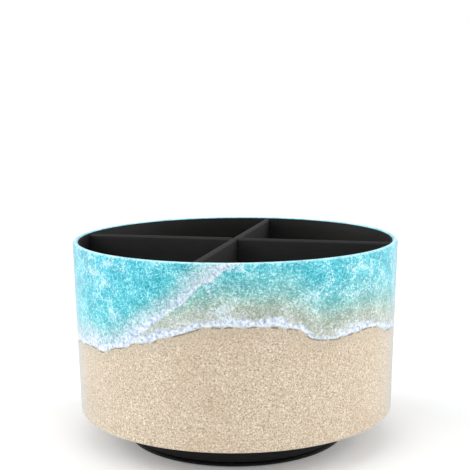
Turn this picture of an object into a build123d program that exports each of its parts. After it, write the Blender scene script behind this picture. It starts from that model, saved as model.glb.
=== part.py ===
from build123d import *
import math
import os

os.makedirs("parts", exist_ok=True)

# A round desk organizer that turns on its base. A drum of board, covered in printed leather and
# open at the top, is split in four by two crossed dividers. It stands on a low turntable: a dish
# under the drum slides on a ring over a foot plate with rubber feet, and turns about a boss in
# the foot plate's hub.
# All sizes are in millimetres. The origin is on the desk at the centre of the base, +Z is up, the
# dividers lie along X and Y, and -Y is the front.

# Drum, over its outer leather
rim_diameter = 175.0
drum_foot_diameter = 170.0
overall_height = 109.0
drum_foot_z = 17.1

# Drum layers, from the outside in
leather_thickness = 0.6
leather_bevel = 0.9  # where the leather bends over the rim
wall_thickness = 1.7
lining_thickness = 1.3
turn_in_depth = 12.0  # how far the outer leather comes down inside the wall
hem_width = 12.0  # how far it comes in under the drum
lining_set_down = 0.5  # rim down to the lining's edge
seam_gap = 0.3

# Drum floor
floor_board_thickness = 4.0
floor_mat_thickness = 0.8
underside_sheet_thickness = 0.6
sheet_gap = 0.3  # round the floor mat and the underside sheet

# Dividers
divider_core_thickness = 2.0
divider_wrap_thickness = 0.5
divider_set_down = 0.8  # rim down to the dividers' top edge
divider_end_gap = 0.2
lap_gap = 0.1  # each side of a divider in the other one's slot, and above or below it

# Foot plate
base_diameter = 118.0
foot_plate_thickness = 1.6
lip_bevel = 0.6
foot_radius = 5.0
foot_thickness = 0.8
foot_inset = 6.0  # foot plate's edge to the feet
foot_count = 4

# Turntable dish
running_gap = 0.5  # foot plate to skirt
skirt_inset = 0.5
skirt_thickness = 2.2
dish_plate_thickness = 2.4

# Glide ring, between the foot plate and the dish's track
glide_radius = 38.0
glide_width = 4.0
glide_gap = 0.1  # to the track above, and to the ribs beside it
track_width = 6.0
track_depth = 5.6  # how far the track comes down from the dish's plate

# Pivot
boss_radius = 6.0
boss_gap = 0.1  # dish boss in the foot plate's hub
hub_wall = 3.0
hub_clearance = 1.7  # hub's top to the dish's ribs
recess_depth = 3.4  # in the foot plate's underside, for the washer and the screw's head
recess_wall = 2.0
boss_overhang = 0.2  # how far the boss comes out below the recess's top
washer_overlap = 1.4  # over the rim of the hub's bore
washer_thickness = 0.8
washer_recess_gap = 2.0
screw_shank_radius = 1.75
screw_bite = 8.0  # depth in the boss
screw_head_radius = 3.6
screw_head_height = 2.0
shank_gap = 0.02
cross_width = 0.8  # driver recess in the screw's head
cross_depth = 1.0

# Ribs
rib_count = 6
rib_thickness = 1.6
rib_height = 2.4
rib_root = 0.5  # how far a rib runs into the wall at its end
skirt_clearance = 1.0  # foot plate's ribs to the skirt

# Heights and radii that follow from the sizes above
rim_radius = rim_diameter / 2
drum_foot_radius = drum_foot_diameter / 2
base_radius = base_diameter / 2
rim_thickness = wall_thickness + 2 * leather_thickness
board_z = drum_foot_z + leather_thickness
floor_z = board_z + floor_board_thickness
mat_top_z = floor_z + floor_mat_thickness
wall_top_z = overall_height - leather_thickness
turn_in_z = overall_height - turn_in_depth
lining_top_z = overall_height - lining_set_down
divider_thickness = divider_core_thickness + 2 * divider_wrap_thickness
divider_top_z = overall_height - divider_set_down
divider_middle_z = (mat_top_z + divider_top_z) / 2
dish_top_z = board_z - underside_sheet_thickness
dish_plate_z = dish_top_z - dish_plate_thickness
track_z = dish_plate_z - track_depth
dish_rib_z = dish_plate_z - rib_height
foot_plate_top_z = foot_thickness + foot_plate_thickness
foot_ring_radius = base_radius - foot_inset - foot_radius
skirt_z = foot_plate_top_z + running_gap
skirt_radius = base_radius - skirt_inset
skirt_inner_radius = skirt_radius - skirt_thickness
glide_inner_radius = glide_radius - glide_width / 2
glide_outer_radius = glide_radius + glide_width / 2
track_inner_radius = glide_radius - track_width / 2
track_outer_radius = glide_radius + track_width / 2
glide_top_z = track_z - glide_gap
hub_bore_radius = boss_radius + boss_gap
hub_radius = hub_bore_radius + hub_wall
hub_top_z = dish_rib_z - hub_clearance
washer_radius = hub_bore_radius + washer_overlap
recess_radius = washer_radius + washer_recess_gap
recess_top_z = foot_thickness + recess_depth
hub_foot_radius = recess_radius + recess_wall
boss_z = recess_top_z - boss_overhang
washer_z = boss_z - washer_thickness
first_rib_angle = 180 / rib_count
first_foot_angle = 180 / foot_count


def drum_radius(z, depth):
    """Radius at height z of the tapered face that lies a depth inside the drum's outer face."""
    rise = (z - drum_foot_z) / (overall_height - drum_foot_z)
    return drum_foot_radius + rise * (rim_radius - drum_foot_radius) - depth


def wall_face(z):
    """Radius of the board wall's inner face."""
    return drum_radius(z, leather_thickness + wall_thickness)


def turn_in_face(z):
    """Radius of the leather that is turned in over the wall's inner face."""
    return drum_radius(z, rim_thickness)


def lining_face(z):
    """Radius of the inside of the lining."""
    return wall_face(z) - lining_thickness


def edge(start, end):
    """Straight edge of a section. One that slants is a two-point curve."""
    slants = start[0] != end[0] and start[1] != end[1]
    return Bezier(start, end) if slants else Line(start, end)


def turned(outline, arc=360.0):
    """Solid of revolution about Z, from +X, of a closed outline of (radius, height) points."""
    edges = [edge(start, end) for start, end in zip(outline, outline[1:] + outline[:1])]
    return revolve(Plane.XZ * make_face(edges), Axis.Z, arc)


def seamed(outline, radius):
    """The same, with an open seam centred on +Y, at the back."""
    gap_angle = math.degrees(seam_gap / radius)
    return Rot(0, 0, 90 + gap_angle / 2) * turned(outline, 360 - gap_angle)


def disc(radius, low, high):
    return Pos(0, 0, low) * extrude(Circle(radius), high - low)


def washer(inner, outer, low, high):
    return Pos(0, 0, low) * extrude(Circle(outer) - Circle(inner), high - low)


def polar(shape, radius, count, first_angle):
    """Copies of a shape on a circle about Z."""
    angles = [first_angle + 360 * i / count for i in range(count)]
    return [Rot(0, 0, angle) * Pos(radius, 0, 0) * shape for angle in angles]


# Drum

def make_drum_wall():
    outline = [
        (drum_radius(board_z, leather_thickness), board_z),
        (drum_radius(wall_top_z, leather_thickness), wall_top_z),
        (wall_face(wall_top_z), wall_top_z),
        (wall_face(board_z), board_z),
    ]
    return turned(outline)


def make_printed_cover():
    """Outer leather: up the wall, over the rim, down inside, and in under the drum."""
    bend_z = overall_height - leather_bevel
    hem_radius = drum_foot_radius - hem_width
    outline = [
        (drum_radius(drum_foot_z, 0), drum_foot_z),
        (drum_radius(bend_z, 0), bend_z),
        (drum_radius(bend_z, leather_bevel), overall_height),
        (turn_in_face(bend_z) + leather_bevel, overall_height),
        (turn_in_face(bend_z), bend_z),
        (turn_in_face(turn_in_z), turn_in_z),
        (wall_face(turn_in_z), turn_in_z),
        (wall_face(wall_top_z), wall_top_z),
        (drum_radius(wall_top_z, leather_thickness), wall_top_z),
        (drum_radius(board_z, leather_thickness), board_z),
        (hem_radius, board_z),
        (hem_radius, drum_foot_z),
    ]
    return seamed(outline, rim_radius)


def make_lining_sleeve():
    """Padded inner leather, thinner where it passes over the turned-in outer leather."""
    outline = [
        (wall_face(floor_z), floor_z),
        (wall_face(turn_in_z), turn_in_z),
        (turn_in_face(turn_in_z), turn_in_z),
        (turn_in_face(lining_top_z), lining_top_z),
        (lining_face(lining_top_z), lining_top_z),
        (lining_face(floor_z), floor_z),
    ]
    return seamed(outline, lining_face(floor_z))


def make_floor_board():
    return disc(wall_face(board_z), board_z, floor_z)


def make_floor_mat():
    return disc(lining_face(floor_z) - sheet_gap, floor_z, mat_top_z)


def make_underside_sheet():
    """Closes the middle of the drum's underside, inside the hem of the outer leather."""
    return disc(drum_foot_radius - hem_width - sheet_gap, dish_top_z, board_z)


# Dividers

def divider_bar(thickness, top_z):
    """Long bar along X, with a fully rounded top edge."""
    half = thickness / 2
    top_round = ThreePointArc((-half, top_z - half), (0, top_z), (half, top_z - half))
    sides = Polyline(
        (half, top_z - half),
        (half, mat_top_z),
        (-half, mat_top_z),
        (-half, top_z - half),
    )
    section = make_face([*top_round.edges(), *sides.edges()])
    return extrude(Plane.YZ * section, rim_radius, both=True)


def divider_outline():
    """Slab with a divider's outline, which follows the lining on both sides."""
    low_half = lining_face(mat_top_z) - divider_end_gap
    high_half = lining_face(divider_top_z) - divider_end_gap
    corners = [
        (-low_half, mat_top_z),
        (low_half, mat_top_z),
        (high_half, divider_top_z),
        (-high_half, divider_top_z),
    ]
    face = make_face(Polyline(*corners, close=True))
    return extrude(Plane.XZ * face, divider_thickness, both=True)


def lap_slot(from_top):
    """Room for the other divider, in this one's upper or lower half."""
    low = divider_middle_z - lap_gap if from_top else mat_top_z
    high = divider_top_z if from_top else divider_middle_z + lap_gap
    slot = Rectangle(divider_thickness + 2 * lap_gap, 2 * divider_thickness)
    return Pos(0, 0, low) * extrude(slot, high - low)


def make_divider_core(slot_from_top):
    bar = divider_bar(divider_core_thickness, divider_top_z - divider_wrap_thickness)
    return (bar & divider_outline()) - lap_slot(slot_from_top)


def make_divider_cover(slot_from_top):
    """Leather folded over the core: down both faces, open below and at the ends."""
    bar = divider_bar(divider_thickness, divider_top_z)
    inside = divider_bar(divider_core_thickness, divider_top_z - divider_wrap_thickness)
    return ((bar - inside) & divider_outline()) - lap_slot(slot_from_top)


# Turntable

def ribs(inner, outer, low):
    """Radial ribs from an inner to an outer radius."""
    bar = Pos((outer - inner) / 2, 0, low) * extrude(Rectangle(outer - inner, rib_thickness), rib_height)
    return polar(bar, inner, rib_count, first_rib_angle)


def make_foot_plate():
    """Round plate with a bevelled lip, ribs that hold the glide ring, and the dish's hub."""
    plate = disc(base_radius, foot_thickness, foot_plate_top_z)
    plate = chamfer(plate.edges().group_by(Axis.Z)[-1], lip_bevel)
    hub_foot = disc(hub_foot_radius, foot_thickness, recess_top_z + recess_wall)
    hub = disc(hub_radius, recess_top_z, hub_top_z)
    inner_end = glide_inner_radius - glide_gap
    outer_start = glide_outer_radius + glide_gap
    outer_end = skirt_inner_radius - skirt_clearance
    body = plate + hub_foot + hub
    body += ribs(hub_foot_radius - rib_root, inner_end, foot_plate_top_z)
    body += ribs(outer_start, outer_end, foot_plate_top_z)
    body -= disc(recess_radius, foot_thickness, recess_top_z)
    return body - disc(hub_bore_radius, recess_top_z, hub_top_z)


def make_glide_ring():
    return washer(glide_inner_radius, glide_outer_radius, foot_plate_top_z, glide_top_z)


def make_turntable_dish():
    """Dish that carries the drum: a ribbed plate, a skirt, a track on the ring and a boss."""
    outline = [
        (0, dish_top_z),
        (skirt_radius, dish_top_z),
        (skirt_radius, skirt_z),
        (skirt_inner_radius, skirt_z),
        (skirt_inner_radius, dish_plate_z),
        (track_outer_radius, dish_plate_z),
        (track_outer_radius, track_z),
        (track_inner_radius, track_z),
        (track_inner_radius, dish_plate_z),
        (boss_radius, dish_plate_z),
        (boss_radius, boss_z),
        (0, boss_z),
    ]
    body = turned(outline)
    body += ribs(boss_radius - rib_root, track_inner_radius + rib_root, dish_rib_z)
    body += ribs(track_outer_radius - rib_root, skirt_inner_radius + rib_root, dish_rib_z)
    return body - disc(screw_shank_radius + shank_gap, boss_z, boss_z + screw_bite + shank_gap)


def make_pivot_washer():
    return washer(screw_shank_radius + shank_gap, washer_radius, washer_z, boss_z)


def make_pivot_screw():
    """Screw driven upwards into the boss, with a cross recess in its head."""
    head_z = washer_z - screw_head_height
    head = disc(screw_head_radius, head_z, washer_z)
    body = head + disc(screw_shank_radius, washer_z, boss_z + screw_bite)
    slot = Pos(0, 0, head_z) * extrude(Rectangle(screw_head_radius, cross_width), cross_depth)
    return body - [slot, Rot(0, 0, 90) * slot]


nodes = {
    "drum_wall": make_drum_wall(),
    "printed_cover": make_printed_cover(),
    "lining_sleeve": make_lining_sleeve(),
    "floor_board": make_floor_board(),
    "floor_mat": make_floor_mat(),
    "underside_sheet": make_underside_sheet(),
    "divider_core_x": make_divider_core(slot_from_top=True),
    "divider_cover_x": make_divider_cover(slot_from_top=True),
    "divider_core_y": Rot(0, 0, 90) * make_divider_core(slot_from_top=False),
    "divider_cover_y": Rot(0, 0, 90) * make_divider_cover(slot_from_top=False),
    "turntable_dish": make_turntable_dish(),
    "pivot_washer": make_pivot_washer(),
    "pivot_screw": make_pivot_screw(),
    "glide_ring": make_glide_ring(),
    "foot_plate": make_foot_plate(),
}
foot = disc(foot_radius, 0, foot_thickness)
for i, placed in enumerate(polar(foot, foot_ring_radius, foot_count, first_foot_angle)):
    nodes[f"rubber_foot_{i + 1}"] = placed

for name, shape in nodes.items():
    export_step(shape, f"parts/{name}.step")
    print(name, len(shape.solids()), round(shape.volume, 1))
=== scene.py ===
import math

import bmesh
import bpy
from mathutils import Matrix, Vector, noise


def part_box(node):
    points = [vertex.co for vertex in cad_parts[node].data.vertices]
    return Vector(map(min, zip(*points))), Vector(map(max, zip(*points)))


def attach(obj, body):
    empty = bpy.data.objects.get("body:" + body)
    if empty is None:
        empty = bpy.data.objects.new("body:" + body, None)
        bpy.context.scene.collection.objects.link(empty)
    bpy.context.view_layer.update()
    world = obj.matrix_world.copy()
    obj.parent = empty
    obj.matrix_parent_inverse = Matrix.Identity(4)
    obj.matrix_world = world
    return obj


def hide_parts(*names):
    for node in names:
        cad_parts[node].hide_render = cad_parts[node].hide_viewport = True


# The looks of a round, leather-covered desk organizer that turns on its base. Metres, +Z up.
# The camera stands to the right of the front, which is -Y. The seams of the leather are at +Y.

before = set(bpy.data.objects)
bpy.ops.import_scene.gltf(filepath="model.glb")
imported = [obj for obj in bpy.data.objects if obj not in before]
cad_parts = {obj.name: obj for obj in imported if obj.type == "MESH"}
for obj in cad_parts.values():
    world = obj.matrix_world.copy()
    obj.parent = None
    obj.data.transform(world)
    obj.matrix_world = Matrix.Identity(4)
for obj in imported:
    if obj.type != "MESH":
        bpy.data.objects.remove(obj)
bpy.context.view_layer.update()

MM = 0.001

# Camera, fitted to the photograph. Its distance is from the object's axis, and its azimuth is to
# the right of the front.
camera_azimuth = math.radians(13.85)
camera_distance = 541.1 * MM
camera_height = 186.8 * MM
camera_pitch = math.radians(-8.115)
camera_roll = math.radians(-0.456)
sensor_width = 36.0  # millimetres, as Blender takes this and the lens
camera_lens = 76.93

# Sizes that the boxes of the frame's nodes don't give
rim_radius = 87.5 * MM
drum_foot_radius = 85.0 * MM
leather_thickness = 0.6 * MM
wall_thickness = 1.7 * MM
lining_edge_thickness = 0.7 * MM  # above the turned-in edge of the outer leather
turn_in_depth = 12.0 * MM
hem_width = 12.0 * MM
seam_gap = 0.3 * MM
lap_clearance = 0.1 * MM
divider_end_gap = 0.15 * MM
foot_rounding = 0.9 * MM
edge_rounding = 0.25 * MM
disc_hole = 0.2 * MM  # too small to see, so that a disc can be turned like a ring

# How unevenly the leather lies on what is under it
cover_unevenness = 0.12 * MM
lining_unevenness = 0.1 * MM
divider_unevenness = 0.06 * MM

# Sizes from the frame
cover_low, cover_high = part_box("printed_cover")
lining_low, lining_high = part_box("lining_sleeve")
mat_low, mat_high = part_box("floor_mat")
sheet_low, sheet_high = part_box("underside_sheet")
divider_low, divider_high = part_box("divider_cover_y")
core_low, core_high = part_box("divider_core_y")
rim_z = cover_high.z
foot_z = cover_low.z
rim_thickness = wall_thickness + 2 * leather_thickness

SEGMENTS = 384  # round the drum

# The print: heights are above the drum's foot, angles are to the right of the front
shore_height = 44.0 * MM
shore_waves = [  # size, times round the drum, phase
    (15.0 * MM, 1.0, 1.05),
    (4.5 * MM, 2.0, 0.0),
    (2.0 * MM, 5.0, 1.3),
    (0.8 * MM, 13.0, 0.4),
]
shore_raggedness = 6.0 * MM
shore_drop = 8.0 * MM  # between the next two angles
shore_drop_start = math.radians(24)
shore_drop_end = math.radians(44)
sea_reach = 46.0 * MM  # from a water's edge to the deepest colour
older_wave_angle = math.radians(-26)
older_wave_climb = 44.0 * MM  # in the first radian
older_wave_waver = 16.0 * MM
older_wave_depth = 12.0 * MM  # how deep the water behind its edge looks
painted_rim_highlight_depth = 1.0 * MM  # rim down to where the painted highlight on the rim's rounding ends

# Light
lamps = [  # name, azimuth to the right of the front and elevation in degrees, strength
    ("front_left", -35, 38, 0.72),
    ("front_right", 40, 28, 0.58),
    ("side_left", -85, 25, 1.65),
    ("side_right", 108, 25, 1.82),
    ("top", 0, 78, 0.45),
]
lamp_spread = math.radians(45)
surround_light = 0.45
floor_glow = 0.12
floor_half_width = 4.0


# Geometry

def drum_radius(z, depth=0.0):
    """Radius at height z of the tapered face that lies a depth inside the drum's outer face."""
    rise = (z - foot_z) / (rim_z - foot_z)
    return drum_foot_radius + rise * (rim_radius - drum_foot_radius) - depth


def arc(centre, radius, start, end, steps):
    """Points of (radius, height) on an arc, from a start to an end angle in degrees."""
    angles = [math.radians(start + (end - start) * i / steps) for i in range(steps + 1)]
    return [(centre[0] + radius * math.cos(a), centre[1] + radius * math.sin(a)) for a in angles]


def straight(start, end, steps):
    """Points between two points, without the ends."""
    ratios = [i / steps for i in range(1, steps)]
    return [tuple(a + (b - a) * t for a, b in zip(start, end)) for t in ratios]


def uneven(point, size, scale):
    """A small smooth offset, between -size and size, that varies with place."""
    return size * noise.noise(Vector(point) * scale)


def finished(name, mesh):
    """An object of a mesh, shaded smooth except at its sharp edges."""
    mesh.shade_smooth()
    mesh.set_sharp_from_angle(angle=math.radians(50))
    made = bpy.data.objects.new(name, mesh)
    bpy.context.scene.collection.objects.link(made)
    return made


def mesh_of(name, points, faces):
    mesh = bpy.data.meshes.new(name)
    mesh.from_pydata(points, [], faces)
    form = bmesh.new()
    form.from_mesh(mesh)
    bmesh.ops.recalc_face_normals(form, faces=form.faces)
    form.to_mesh(mesh)
    form.free()
    return mesh


def lathe(name, outline, gap=0.0, size=0.0, scale=14.0):
    """Ring with a closed outline of (radius, height) points, and an open seam at +Y if it has a gap.

    size is how unevenly the leather lies on what is under it, and scale is how closely.
    """
    half_gap = gap / 2 / rim_radius
    columns = SEGMENTS + 1 if gap else SEGMENTS
    sweep = 2 * math.pi - 2 * half_gap
    points = []
    for i in range(columns):
        angle = math.pi / 2 + half_gap + sweep * i / SEGMENTS
        across, along = math.cos(angle), math.sin(angle)
        for radius, z in outline:
            place = (across * radius, along * radius, z)
            shift = uneven(place, size, scale) if size else 0.0
            points.append((across * (radius + shift), along * (radius + shift), z))
    rows = len(outline)
    faces = []
    for i in range(SEGMENTS):
        for j in range(rows):
            a = i * rows + j
            b = i * rows + (j + 1) % rows
            c = (i + 1) % columns * rows + (j + 1) % rows
            d = (i + 1) % columns * rows + j
            faces.append((a, b, c, d))
    if gap:
        faces.append(tuple(range(rows)))
        faces.append(tuple(SEGMENTS * rows + j for j in range(rows)))
    return finished(name, mesh_of(name, points, faces))


def developed(outline):
    """Half the perimeter of a thin closed outline: how wide the sheet was cut."""
    steps = zip(outline, outline[1:] + outline[:1])
    return sum(math.dist(a, b) for a, b in steps) / 2


# Leather of the drum

def cover_outline():
    wall_top = rim_z - leather_thickness
    board_z = foot_z + leather_thickness
    rim_round = rim_thickness / 2
    round_z = rim_z - rim_round
    turn_in_z = rim_z - turn_in_depth
    wall_depth = leather_thickness + wall_thickness
    foot_start = (drum_radius(foot_z + foot_rounding), foot_z + foot_rounding)
    rim_start = (drum_radius(round_z), round_z)
    hem_radius = drum_foot_radius - hem_width
    centre_foot = (foot_start[0] - foot_rounding, foot_start[1])
    centre_rim = (rim_start[0] - rim_round, round_z)
    outline = arc(centre_foot, foot_rounding, -90, 0, 6)
    outline += straight(foot_start, rim_start, 16)
    outline += arc(centre_rim, rim_round, 0, 180, 14)
    outline += straight((drum_radius(round_z, rim_thickness), round_z),
                        (drum_radius(turn_in_z, rim_thickness), turn_in_z), 4)
    outline += [
        (drum_radius(turn_in_z, rim_thickness), turn_in_z),
        (drum_radius(turn_in_z, wall_depth), turn_in_z),
        (drum_radius(wall_top, wall_depth), wall_top),
        (drum_radius(wall_top, leather_thickness), wall_top),
        (drum_radius(board_z, leather_thickness), board_z),
        (hem_radius, board_z),
        (hem_radius, foot_z),
    ]
    return outline


def make_cover():
    """Printed leather: up the wall, round over the rim, down inside and in under the drum."""
    outline = cover_outline()
    cover = lathe("cover_leather", outline, gap=seam_gap, size=cover_unevenness)
    developed(outline)
    return cover


def lining_face(z):
    """Radius of the lining's inside."""
    return drum_radius(z, rim_thickness + lining_edge_thickness)


def make_lining():
    """Black padded leather inside the wall, with a soft cut edge just below the rim."""
    top_z, low_z = lining_high.z, lining_low.z
    turn_in_z = rim_z - turn_in_depth
    wall_depth = leather_thickness + wall_thickness
    half = lining_edge_thickness / 2
    edge_centre = (lining_face(top_z) + half, top_z - half)
    outline = [(lining_face(low_z), low_z)]
    outline += straight((lining_face(low_z), low_z), (lining_face(top_z - half), top_z - half), 14)
    outline += reversed(arc(edge_centre, half, 0, 180, 6))
    outline += [
        (drum_radius(turn_in_z, rim_thickness), turn_in_z),
        (drum_radius(turn_in_z, wall_depth), turn_in_z),
        (drum_radius(low_z, wall_depth), low_z),
    ]
    lining = lathe("lining_leather", outline, gap=seam_gap, size=lining_unevenness, scale=20.0)
    developed(outline)
    return lining


def make_round_sheet(name, low, high):
    """Flat leather disc with softened edges."""
    radius = (high.x - low.x) / 2
    corner = edge_rounding
    rings = [disc_hole] + [radius * share for share in (0.25, 0.5, 0.75, 0.93)]
    outline = [(r, low.z) for r in rings]
    outline += arc((radius - corner, low.z + corner), corner, -90, 0, 3)
    outline += arc((radius - corner, high.z - corner), corner, 0, 90, 3)
    outline += [(r, high.z) for r in reversed(rings)]
    disc = lathe(name, outline)
    return disc


# Leather of the dividers

def divider_section():
    """Outline across a divider's cover: (sideways, height), up one face and down the other."""
    half = (divider_high.x - divider_low.x) / 2
    core = (core_high.x - core_low.x) / 2
    low_z, top_z = divider_low.z, divider_high.z
    outer = [(half, low_z)] + straight((half, low_z), (half, top_z - half), 10)
    outer += arc((0, top_z - half), half, 0, 180, 12)
    outer += straight((-half, top_z - half), (-half, low_z), 10) + [(-half, low_z)]
    inner = [(-core, low_z)] + arc((0, top_z - half), core, 180, 0, 8) + [(core, low_z)]
    return outer + inner


def make_divider(name, over):
    """Leather folded over a divider's core, along X. over says that it runs over the other.

    Its ends follow the lining on both sides.
    """
    section = divider_section()
    stations = 48
    points = []
    for i in range(stations + 1):
        share = 2 * i / stations - 1
        for side, z in section:
            x = share * (lining_face(z) - divider_end_gap)
            shift = uneven((x, side, z), divider_unevenness, 30.0)
            points.append((x, side + math.copysign(shift, side), z))
    rows = len(section)
    faces = [tuple(range(rows)), tuple(stations * rows + j for j in range(rows))]
    for i in range(stations):
        for j in range(rows):
            a, b = i * rows + j, i * rows + (j + 1) % rows
            faces.append((a, b, b + rows, a + rows))
    cover = finished(name, mesh_of(name, points, faces))
    cut_slot(cover, over)
    return cover


def cut_slot(cover, over):
    """Cuts the half-lap slot: the lower half of the divider that runs over, else the upper."""
    middle = (divider_low.z + divider_high.z) / 2
    width = divider_high.x - divider_low.x + 2 * lap_clearance
    low = divider_low.z - width if over else middle - lap_clearance
    high = middle + lap_clearance if over else divider_high.z + width
    size = Vector((width, 4 * width, high - low))
    form = bmesh.new()
    bmesh.ops.create_cube(form, size=1.0)
    bmesh.ops.scale(form, vec=size, verts=form.verts)
    bmesh.ops.translate(form, vec=(0, 0, (low + high) / 2), verts=form.verts)
    mesh = bpy.data.meshes.new("slot_cutter")
    form.to_mesh(mesh)
    form.free()
    cutter = bpy.data.objects.new("slot_cutter", mesh)
    bpy.context.scene.collection.objects.link(cutter)
    cut = cover.modifiers.new("slot", "BOOLEAN")
    cut.operation = "DIFFERENCE"
    cut.object = cutter
    cut.solver = "EXACT"
    depsgraph = bpy.context.evaluated_depsgraph_get()
    result = bpy.data.meshes.new_from_object(cover.evaluated_get(depsgraph))
    cover.modifiers.clear()
    cover.data = result
    bpy.data.objects.remove(cutter)


# Materials

def srgb(red, green, blue):
    """Linear colour of an sRGB one from 0 to 255."""
    def linear(value):
        value /= 255
        return value / 12.92 if value <= 0.04045 else ((value + 0.055) / 1.055) ** 2.4
    return (linear(red), linear(green), linear(blue), 1.0)


class Shader:
    """A material with a Principled shader, and short calls for the nodes that feed it."""

    def __init__(self, name):
        self.material = bpy.data.materials.new(name)
        self.material.use_nodes = True
        self.tree = self.material.node_tree
        self.tree.nodes.clear()
        self.surface = self.node("BsdfPrincipled")
        output = self.node("OutputMaterial")
        self.tree.links.new(self.surface.outputs["BSDF"], output.inputs["Surface"])
        self.place = self.node("TexCoord").outputs["Object"]

    def node(self, kind, inputs=None, **settings):
        made = self.tree.nodes.new("ShaderNode" + kind)
        for key, value in settings.items():
            setattr(made, key, value)
        for key, value in (inputs or {}).items():
            self.put(made, key, value)
        return made

    def put(self, made, key, value):
        socket = made.inputs[key]
        if isinstance(value, bpy.types.NodeSocket):
            self.tree.links.new(value, socket)
        else:
            socket.default_value = value

    def set(self, **values):
        for key, value in values.items():
            self.put(self.surface, key.replace("_", " "), value)

    def calc(self, operation, *values):
        inputs = dict(enumerate(values))
        return self.node("Math", inputs, operation=operation).outputs[0]

    def step(self, value, low, high):
        """0 below low, 1 above high, smooth between. High may be the lower one."""
        inputs = {"Value": value, "From Min": low, "From Max": high}
        made = self.node("MapRange", inputs, interpolation_type="SMOOTHSTEP")
        return made.outputs["Result"]

    def mix(self, factor, first, second):
        # Sockets 0, 6 and 7 are the factor and the two colours.
        made = self.node("Mix", data_type="RGBA")
        self.put(made, 0, factor)
        self.put(made, 6, first)
        self.put(made, 7, second)
        return made.outputs[2]

    def ramp(self, factor, stops):
        made = self.node("ValToRGB", {"Fac": factor})
        elements = made.color_ramp.elements
        while len(elements) < len(stops):
            elements.new(0.5)
        for element, (position, colour) in zip(elements, stops):
            element.position = position
            element.color = colour
        return made.outputs["Color"]

    def noise(self, size, detail=2.0, distortion=0.0, roughness=0.5, stretch=(1, 1, 1)):
        """Soft noise around 0.5, whose blots are about size metres across, times the stretch."""
        shrink = tuple(1 / part for part in stretch)
        place = self.node("VectorMath", {0: self.place, 1: shrink}, operation="MULTIPLY")
        inputs = {
            "Vector": place.outputs["Vector"],
            "Scale": 1 / size,
            "Detail": detail,
            "Roughness": roughness,
            "Distortion": distortion,
        }
        return self.node("TexNoise", inputs).outputs["Fac"]

    def cells(self, size, feature):
        inputs = {"Vector": self.place, "Scale": 1 / size}
        return self.node("TexVoronoi", inputs, feature=feature).outputs["Distance"]

    def bump(self, height, depth, strength):
        made = self.node("Bump", {"Height": height, "Distance": depth, "Strength": strength})
        self.put(self.surface, "Normal", made.outputs["Normal"])

    def axes(self):
        parts = self.node("SeparateXYZ", {"Vector": self.place}).outputs
        return parts["X"], parts["Y"], parts["Z"]


def leather_grain(shader, size):
    """Height of fine pebbled leather: rounded cells with creases, and some unevenness."""
    pebbles = shader.calc("MULTIPLY", shader.cells(size, "SMOOTH_F1"), -1.0)
    creases = shader.step(shader.cells(size * 1.7, "DISTANCE_TO_EDGE"), 0.0, 0.12)
    fine = shader.noise(size * 0.5)
    height = shader.calc("MULTIPLY_ADD", creases, 0.5, pebbles)
    return shader.calc("MULTIPLY_ADD", fine, 0.3, height)


def shoreline(shader, angle):
    """Height above the drum's foot of the water's edge, by the angle round the drum."""
    height = shore_height
    for size, turns, phase in shore_waves:
        wave = shader.calc("SINE", shader.calc("MULTIPLY_ADD", angle, turns, phase))
        height = shader.calc("MULTIPLY_ADD", wave, size, height)
    dropped = shader.step(angle, shore_drop_start, shore_drop_end)
    height = shader.calc("MULTIPLY_ADD", dropped, -shore_drop, height)
    ragged = shader.calc("SUBTRACT", shader.noise(13 * MM, detail=3.0), 0.5)
    return shader.calc("MULTIPLY_ADD", ragged, shore_raggedness, height)


def older_wave(shader, angle):
    """How far above the water's edge an older wave runs, which climbs from there to the rim."""
    past = shader.calc("MAXIMUM", shader.calc("SUBTRACT", angle, older_wave_angle), 0.0)
    climb = shader.calc("MULTIPLY", shader.calc("POWER", past, 1.2), older_wave_climb)
    waver = shader.calc("SUBTRACT", shader.noise(16 * MM, detail=3.0, distortion=0.5), 0.5)
    waver = shader.calc("MULTIPLY", waver, past)
    return shader.calc("MULTIPLY_ADD", waver, older_wave_waver, climb)


def ripples(shader):
    """Fine ripples around 0.5, high where they catch the light, in brighter and duller drifts."""
    drift = shader.calc("SUBTRACT", shader.noise(9 * MM, detail=3.0), 0.5)
    fine = shader.noise(1.05 * MM, detail=4.0, distortion=1.1, roughness=0.72)
    return shader.calc("MULTIPLY_ADD", drift, 0.3, fine)


def lace_of_foam(shader, glitter):
    """Where thin threads of foam lie on the open water, in patches."""
    threads = shader.noise(16 * MM, detail=4.0, distortion=1.4)
    ridge = shader.calc("ABSOLUTE", shader.calc("SUBTRACT", threads, 0.5))
    patch = shader.step(shader.noise(30 * MM, detail=2.0), 0.46, 0.6)
    lace = shader.calc("MULTIPLY", shader.step(ridge, 0.05, 0.0), patch)
    lace = shader.calc("MULTIPLY", lace, shader.step(glitter, 0.36, 0.56))
    return shader.calc("MULTIPLY", lace, 0.8)


def water(shader, depth, glitter, lace):
    """Colour of the sea by how far it is above a water's edge."""
    share = shader.calc("DIVIDE", depth, sea_reach)
    clear = shader.ramp(share, [
        (0.0, srgb(192, 184, 158)),
        (0.16, srgb(168, 180, 158)),
        (0.36, srgb(124, 194, 192)),
        (0.62, srgb(74, 200, 212)),
        (1.0, srgb(54, 196, 216)),
    ])
    deep = shader.step(share, 0.1, 0.6)
    shadow = shader.mix(deep, srgb(128, 142, 124), srgb(10, 136, 158))
    glint = shader.mix(deep, srgb(232, 240, 232), srgb(204, 250, 255))
    hollows = shader.calc("MULTIPLY", shader.step(glitter, 0.52, 0.38), 0.85)
    crests = shader.calc("MULTIPLY", shader.step(glitter, 0.5, 0.66), 0.95)
    mottled = shader.mix(crests, shader.mix(hollows, clear, shadow), glint)
    return shader.mix(lace, mottled, srgb(218, 242, 255))


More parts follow.
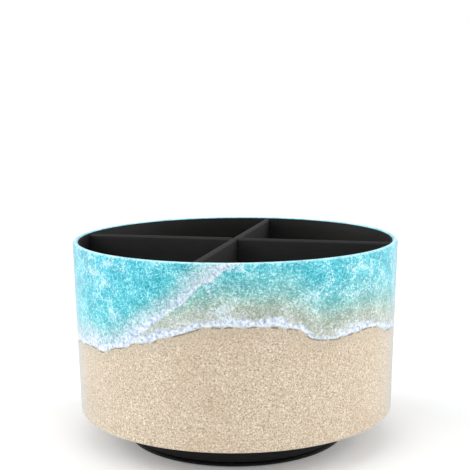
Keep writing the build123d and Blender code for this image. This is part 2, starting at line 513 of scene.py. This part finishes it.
def beach_sand(shader, near):
    """Pale sand with fine grains, in slightly warmer patches, and damp near the water's edge."""
    grains = shader.noise(0.8 * MM, detail=3.0, roughness=0.8)
    sand = shader.ramp(grains, [
        (0.3, srgb(112, 92, 70)),
        (0.43, srgb(188, 169, 143)),
        (0.56, srgb(219, 203, 181)),
        (0.68, srgb(252, 245, 230)),
    ])
    patches = shader.noise(26 * MM, detail=3.0)
    warmth = shader.calc("MULTIPLY", shader.step(patches, 0.42, 0.66), 0.22)
    sand = shader.mix(warmth, sand, srgb(190, 164, 136))
    damp = shader.calc("MULTIPLY", shader.step(near, -9.0 * MM, 0.0), 0.35)
    return shader.mix(damp, sand, srgb(176, 168, 150))


def with_foam(shader, beach, edges, bubbles, fray, glitter):
    """The beach with foam: solid at each water's edge, with a thin milky wash behind it.

    edges are (distance above a water's edge, width of its foam, strength of its wash).
    """
    froth = shader.ramp(bubbles, [
        (0.34, srgb(140, 158, 186)),
        (0.46, srgb(196, 212, 236)),
        (0.6, srgb(240, 248, 255)),
    ])
    swell = shader.calc("SUBTRACT", shader.noise(17 * MM, detail=1.0), 0.5)
    for distance, width, wash in edges:
        ragged = shader.calc("MULTIPLY_ADD", fray, 5.0 * MM, distance)
        ragged = shader.calc("MULTIPLY_ADD", swell, 7.0 * MM, ragged)
        begins = shader.step(distance, -0.4 * MM, 0.6 * MM)
        solid = shader.calc("MULTIPLY", shader.step(ragged, width * 1.5, width * 0.5), 0.92)
        milky = shader.calc("MULTIPLY", shader.step(ragged, width * 4.0, width * 0.5), wash)
        milky = shader.calc("MULTIPLY", milky, shader.step(glitter, 0.34, 0.56))
        foam = shader.calc("MULTIPLY", begins, shader.calc("MAXIMUM", solid, milky))
        beach = shader.mix(foam, beach, froth)
    return beach


def with_edge_line(shader, beach, near, fray):
    """The beach with a broken dark line on the sand, in the shade of the foam."""
    below = shader.step(near, -1.1 * MM, -0.5 * MM)
    above = shader.step(near, 0.2 * MM, -0.5 * MM)
    line = shader.calc("MULTIPLY", below, above)
    line = shader.calc("MULTIPLY", line, shader.step(fray, -0.08, 0.06))
    return shader.mix(shader.calc("MULTIPLY", line, 0.85), beach, srgb(92, 84, 76))


def with_painted_rim_highlight(shader, beach, z, bubbles):
    """The beach with a painted highlight: paler in broken patches where the leather bends over the
    rim and faces the light.
    """
    bend = shader.step(z, rim_z - painted_rim_highlight_depth, rim_z - 0.2 * painted_rim_highlight_depth)
    painted_highlight = shader.calc("MULTIPLY", bend, shader.step(bubbles, 0.25, 0.6))
    # Painted highlight: the rim's rounding is mixed towards a pale cyan, standing in for light
    # catching it.
    return shader.mix(shader.calc("MULTIPLY", painted_highlight, 0.75), beach, srgb(206, 248, 255))


def printed_leather():
    """A beach from above, printed on leather: sea at the rim, foam, and sand at the foot."""
    shader = Shader("printed_leather")
    x, y, z = shader.axes()
    angle = shader.calc("ARCTAN2", x, shader.calc("MULTIPLY", y, -1.0))
    height = shader.calc("SUBTRACT", z, foot_z)
    near = shader.calc("SUBTRACT", height, shoreline(shader, angle))
    far = shader.calc("SUBTRACT", near, older_wave(shader, angle))

    glitter = ripples(shader)
    lace = lace_of_foam(shader, glitter)
    sea = shader.mix(
        shader.step(far, -0.5 * MM, 0.5 * MM),
        water(shader, near, glitter, lace),
        water(shader, shader.calc("ADD", far, older_wave_depth), glitter, lace),
    )
    sand = beach_sand(shader, near)
    beach = shader.mix(shader.step(near, -0.3 * MM, 0.3 * MM), sand, sea)

    bubbles = shader.noise(1.5 * MM, detail=3.0, roughness=0.7)
    fray = shader.calc("SUBTRACT", shader.noise(3.5 * MM, detail=3.0), 0.5)
    edges = [(near, 3.4 * MM, 0.45), (far, 3.8 * MM, 0.75)]
    beach = with_foam(shader, beach, edges, bubbles, fray, glitter)
    beach = with_edge_line(shader, beach, near, fray)
    beach = with_painted_rim_highlight(shader, beach, z, bubbles)

    shader.set(
        Base_Color=beach,
        Roughness=0.45,
        Specular_IOR_Level=0.5,
        Sheen_Weight=1.0,
        Sheen_Roughness=0.27,
        Sheen_Tint=srgb(226, 244, 255),
    )
    shader.bump(leather_grain(shader, 0.7 * MM), 0.05 * MM, 0.4)
    return shader.material


def black_leather(name, colour, grain, depth, gloss, streaks=1.0):
    """Black leather with a grain of a size and a depth.

    gloss is its specular level, and streaks is how much longer its marks are than tall.
    """
    shader = Shader(name)
    along = (streaks, streaks, 1.0)
    worn = shader.noise(18 * MM, detail=3.0)
    fleck = shader.noise(0.8 * MM, detail=2.0, stretch=along)
    tone = shader.calc("MULTIPLY_ADD", fleck, 0.8, shader.calc("MULTIPLY", worn, 0.4))
    light = tuple(min(1.0, 2.2 * part) for part in colour[:3]) + (1.0,)
    shader.set(
        Base_Color=shader.ramp(tone, [(0.35, colour), (0.85, light)]),
        Roughness=shader.calc("MULTIPLY_ADD", worn, 0.16, 0.5),
        Specular_IOR_Level=gloss,
    )
    height = shader.calc("MULTIPLY_ADD", fleck, 0.5, leather_grain(shader, grain))
    shader.bump(height, depth, 0.6)
    return shader.material


def moulded_plastic():
    """Black plastic with a fine mould texture and slightly duller patches."""
    shader = Shader("black_plastic")
    texture = shader.noise(0.35 * MM, detail=2.0)
    wear = shader.noise(25 * MM, detail=3.0)
    shader.set(
        Base_Color=shader.ramp(wear, [(0.3, srgb(5, 7, 9)), (0.7, srgb(11, 13, 15))]),
        Roughness=shader.calc("MULTIPLY_ADD", wear, 0.14, 0.36),
        Specular_IOR_Level=0.24,
    )
    shader.bump(texture, 0.02 * MM, 0.4)
    return shader.material


def fibreboard():
    """Brown pressed board, which lies under the leather."""
    shader = Shader("fibreboard")
    fibres = shader.noise(0.5 * MM, detail=4.0, roughness=0.7)
    shader.set(
        Base_Color=shader.ramp(fibres, [(0.3, srgb(112, 88, 62)), (0.7, srgb(158, 132, 100))]),
        Roughness=0.85,
    )
    shader.bump(fibres, 0.05 * MM, 0.5)
    return shader.material


def acetal():
    """Off-white slippery plastic of the glide ring."""
    shader = Shader("acetal")
    cloud = shader.noise(6 * MM, detail=2.0)
    shader.set(
        Base_Color=shader.ramp(cloud, [(0.3, srgb(222, 219, 208)), (0.7, srgb(234, 232, 224))]),
        Roughness=0.38,
    )
    return shader.material


def zinc_steel():
    """Zinc-plated steel of the washer and the screw."""
    shader = Shader("zinc_steel")
    grain = shader.noise(0.8 * MM, detail=3.0)
    shader.set(
        Base_Color=shader.ramp(grain, [(0.3, srgb(150, 150, 152)), (0.7, srgb(196, 196, 194))]),
        Metallic=1.0,
        Roughness=shader.calc("MULTIPLY_ADD", grain, 0.2, 0.25),
    )
    return shader.material


def rubber():
    """Dark grey rubber of the feet, a little dusty."""
    shader = Shader("grey_rubber")
    dust = shader.noise(1.2 * MM, detail=4.0)
    shader.set(
        Base_Color=shader.ramp(dust, [(0.35, srgb(44, 44, 45)), (0.7, srgb(66, 66, 66))]),
        Roughness=0.85,
    )
    shader.bump(dust, 0.05 * MM, 0.4)
    return shader.material


def paint(made, material):
    made.data.materials.clear()
    made.data.materials.append(material)


def repaint(node, material):
    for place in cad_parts[node].material_slots:
        place.material = material


def soften(node):
    """Rounds the edges of a moulded piece, as its mould leaves them."""
    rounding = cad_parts[node].modifiers.new("edge_rounding", "BEVEL")
    rounding.width = edge_rounding
    rounding.segments = 2
    rounding.limit_method = "ANGLE"
    rounding.angle_limit = math.radians(35)


# Stage

def make_floor():
    """A pale floor that looks white where no shadow falls on it."""
    half = floor_half_width
    corners = [(-half, -half, 0), (half, -half, 0), (half, half, 0), (-half, half, 0)]
    mesh = mesh_of("floor", corners, [(0, 1, 2, 3)])
    floor = finished("floor", mesh)
    shader = Shader("floor_white")
    path = shader.node("LightPath").outputs
    seen = shader.calc("MAXIMUM", path["Is Camera Ray"], path["Is Glossy Ray"])
    seen = shader.calc("MAXIMUM", seen, path["Is Transmission Ray"])
    shader.set(
        Base_Color=shader.mix(seen, srgb(230, 230, 230), srgb(240, 240, 240)),
        Roughness=1.0,
        Specular_IOR_Level=0.0,
        Emission_Color=(1.0, 1.0, 1.0, 1.0),
        Emission_Strength=shader.calc("MULTIPLY", seen, floor_glow),
    )
    paint(floor, shader.material)


def make_lamp(name, azimuth, elevation, strength):
    """Soft light from far away."""
    turn, rise = math.radians(azimuth), math.radians(elevation)
    level = math.cos(rise)
    away = Vector((math.sin(turn) * level, -math.cos(turn) * level, math.sin(rise)))
    data = bpy.data.lights.new(name, "SUN")
    data.angle = lamp_spread
    data.energy = strength
    lamp = bpy.data.objects.new(name, data)
    lamp.rotation_mode = "QUATERNION"
    lamp.rotation_quaternion = (-away).to_track_quat("-Z", "Y")
    bpy.context.scene.collection.objects.link(lamp)


def make_world():
    """White surroundings, which light the object evenly, at a lower level than they show."""
    world = bpy.data.worlds.new("studio")
    world.use_nodes = True
    bpy.context.scene.world = world
    back = world.node_tree.nodes["Background"]
    back.inputs["Color"].default_value = (1.0, 1.0, 1.0, 1.0)
    path = world.node_tree.nodes.new("ShaderNodeLightPath")
    strength = world.node_tree.nodes.new("ShaderNodeMix")
    strength.inputs["A"].default_value = surround_light
    strength.inputs["B"].default_value = 1.0
    world.node_tree.links.new(path.outputs["Is Camera Ray"], strength.inputs["Factor"])
    world.node_tree.links.new(strength.outputs["Result"], back.inputs["Strength"])


def make_camera():
    data = bpy.data.cameras.new("camera")
    data.sensor_width = sensor_width
    data.lens = camera_lens
    camera = bpy.data.objects.new("camera", data)
    turn = camera_azimuth
    position = Vector((math.sin(turn), -math.cos(turn), 0)) * camera_distance
    position.z = camera_height
    ahead = Vector((-math.sin(turn), math.cos(turn), 0)) * math.cos(camera_pitch)
    ahead.z = math.sin(camera_pitch)
    right = Vector((math.cos(turn), math.sin(turn), 0))
    up = right.cross(ahead)
    tilted_right = right * math.cos(camera_roll) + up * math.sin(camera_roll)
    tilted_up = up * math.cos(camera_roll) - right * math.sin(camera_roll)
    axes = Matrix((tilted_right, tilted_up, -ahead)).transposed()
    camera.matrix_world = Matrix.Translation(position) @ axes.to_4x4()
    bpy.context.scene.collection.objects.link(camera)
    bpy.context.scene.camera = camera


make_camera()
make_world()
make_floor()
for lamp in lamps:
    make_lamp(*lamp)

divider_y = make_divider("divider_leather_y", over=True)
divider_y.data.transform(Matrix.Rotation(math.pi / 2, 4, "Z"))
divider_x = make_divider("divider_leather_x", over=False)
inner_black = black_leather("lining_black", srgb(16, 16, 15), 0.9 * MM, 0.12 * MM, 0.2)
divider_black = black_leather("divider_black", srgb(18, 18, 18), 0.6 * MM, 0.05 * MM, 0.35, 9.0)
pieces = [
    (make_cover(), "printed_cover", "printed_leather", printed_leather()),
    (make_lining(), "lining_sleeve", "black_leather", inner_black),
    (make_round_sheet("floor_leather", mat_low, mat_high), "floor_mat",
     "black_leather", inner_black),
    (make_round_sheet("underside_leather", sheet_low, sheet_high),
     "underside_sheet", "black_leather", divider_black),
    (divider_x, "divider_cover_x", "black_leather", divider_black),
    (divider_y, "divider_cover_y", "black_leather", divider_black),
]
for piece, node, slot, material in pieces:
    paint(piece, material)
    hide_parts(node)
    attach(piece, "drum")

plastic = moulded_plastic()
board = fibreboard()
steel = zinc_steel()
feet = rubber()
repaint("glide_ring", acetal())
for node in ("drum_wall", "floor_board", "divider_core_x", "divider_core_y"):
    repaint(node, board)
for node in ("turntable_dish", "foot_plate"):
    repaint(node, plastic)
    soften(node)
for node in ("pivot_washer", "pivot_screw"):
    repaint(node, steel)
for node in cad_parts:
    if node.startswith("rubber_foot"):
        repaint(node, feet)

bpy.context.scene.view_settings.view_transform = "Standard"
